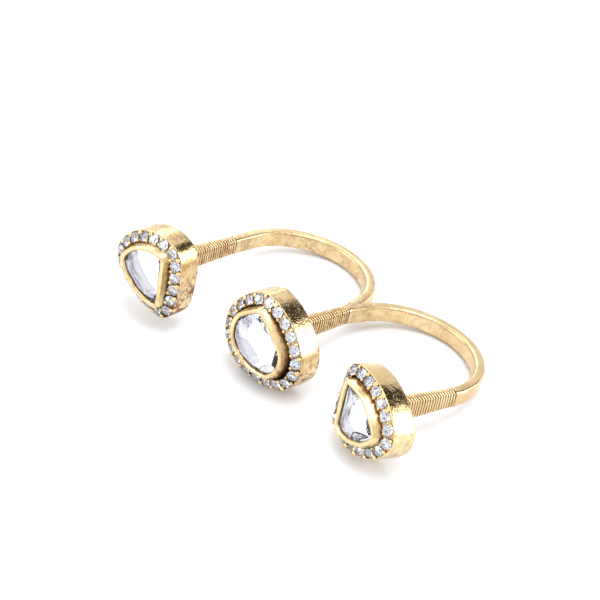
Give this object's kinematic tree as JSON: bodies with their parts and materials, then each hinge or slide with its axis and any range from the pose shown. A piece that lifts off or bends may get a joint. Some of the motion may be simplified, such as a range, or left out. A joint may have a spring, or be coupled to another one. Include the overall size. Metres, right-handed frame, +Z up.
{
  "type": "two finger ring",
  "caption": "Antique gold two finger ring: open loops, wire-wrapped necks, and irregular heads, each with a clear stone in a bezel and a halo of small stones.",
  "frame": {"origin": "bottom centre of the bounding box, on the surface that the ring rests on", "axes": "+X along the row of heads from left to right, +Y from the heads to the back of the finger loops, +Z up"},
  "size_m": [0.0474, 0.0306, 0.0125],
  "materials": {
    "gold": "polished, with dark patina in the recesses",
    "wire": "polished",
    "stone_clear": "polished",
    "stone_small": "polished"
  },
  "bodies": {
    "root": {"ring_frame": "gold", "wire_wrap_left": "wire", "wire_wrap_middle": "wire", "wire_wrap_right": "wire", "main_stone_left": "stone_clear", "main_stone_middle": "stone_clear", "main_stone_right": "stone_clear", "halo_stones_left": "stone_small", "halo_stones_middle": "stone_small", "halo_stones_right": "stone_small"}
  },
  "joints": []
}
